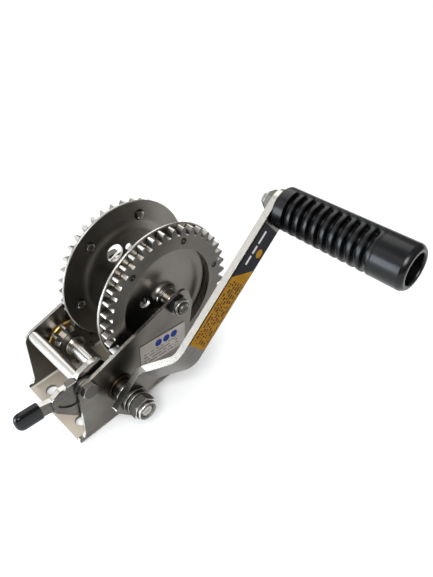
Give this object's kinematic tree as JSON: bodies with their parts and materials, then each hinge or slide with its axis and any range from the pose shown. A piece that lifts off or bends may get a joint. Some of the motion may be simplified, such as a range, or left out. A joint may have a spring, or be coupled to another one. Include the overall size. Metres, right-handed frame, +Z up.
{
  "type": "boat trailer winch",
  "caption": "Hand-cranked strap winch: bent steel frame, geared drum, twin pinions, ratchet pawl and a cranked handle with a revolving grip.",
  "frame": {"origin": "underside of the frame's base, midway along it and midway between the side plates", "axes": "+Z up from the base; the drum axle and the crank shaft run along Y, with the crank arm on the -Y side; the pawl handle sticks out towards -X and the drum hangs out towards +X"},
  "size_m": [0.2548, 0.247, 0.1689],
  "materials": {
    "stainless": "brushed stainless sheet",
    "bright_steel": "bright plated or polished steel",
    "brass": "machined, lightly oiled",
    "spring_steel": "black oxide",
    "grip_plastic": "moulded black plastic",
    "vinyl": "dipped vinyl",
    "label_grey": "printed foil",
    "label_amber": "printed foil",
    "label_black": "printed foil"
  },
  "bodies": {
    "frame_body": {"frame": "stainless", "rating_label": "label_grey", "axle_bolt": "bright_steel", "axle_nut": "bright_steel", "axle_spacer_near": "bright_steel", "axle_spacer_far": "bright_steel", "bush_near": "brass", "bush_far": "brass", "pawl_bolt": "bright_steel", "pawl_spacer": "bright_steel", "pawl_washer": "bright_steel"},
    "drum_body": {"drum_hub": "bright_steel", "drum_flange_near": "stainless", "ring_gear_near": "stainless", "drum_flange_far": "stainless", "ring_gear_far": "stainless", "rivet_near_1": "stainless", "rivet_near_2": "stainless", "rivet_near_3": "stainless", "rivet_near_4": "stainless", "rivet_near_5": "stainless", "rivet_near_6": "stainless", "rivet_far_1": "stainless", "rivet_far_2": "stainless", "rivet_far_3": "stainless", "rivet_far_4": "stainless", "rivet_far_5": "stainless", "rivet_far_6": "stainless"},
    "crank_body": {"crank_shaft": "bright_steel", "pinion_near": "bright_steel", "pinion_far": "bright_steel", "crank_spacer": "stainless", "crank_washer": "bright_steel", "shaft_clip": "spring_steel", "crank_arm": "bright_steel", "crank_nut": "bright_steel", "nut_spacer": "bright_steel", "arm_label_top": "label_black", "arm_label_lower": "label_amber", "grip_bolt": "bright_steel", "grip_nut": "bright_steel"},
    "grip_body": {"grip": "grip_plastic", "grip_cup": "grip_plastic"},
    "pawl_body": {"pawl_lever": "bright_steel", "pawl_cheek": "stainless", "pawl_cap": "vinyl", "pawl_spring": "spring_steel"}
  },
  "joints": [
    {"name": "drum_spin", "type": "hinge", "parent": "frame_body", "child": "drum_body", "pos_m": [0.064, 0, 0.079], "axis": [0, 1, 0], "continuous": true},
    {"name": "crank_spin", "type": "hinge", "parent": "frame_body", "child": "crank_body", "pos_m": [-0.00415, 0, 0.03241], "axis": [0, 1, 0], "continuous": true},
    {"name": "grip_spin", "type": "hinge", "parent": "crank_body", "child": "grip_body", "pos_m": [0.14791, 0, 0.15078], "axis": [0, 1, 0], "continuous": true},
    {"name": "pawl_swing", "type": "hinge", "parent": "frame_body", "child": "pawl_body", "pos_m": [-0.031, 0, 0.056], "axis": [0, 1, 0], "range_deg": [-5, 6]}
  ],
  "couplings": [
    {"joint": "crank_spin", "follows": "drum_spin", "ratio": -3}
  ]
}
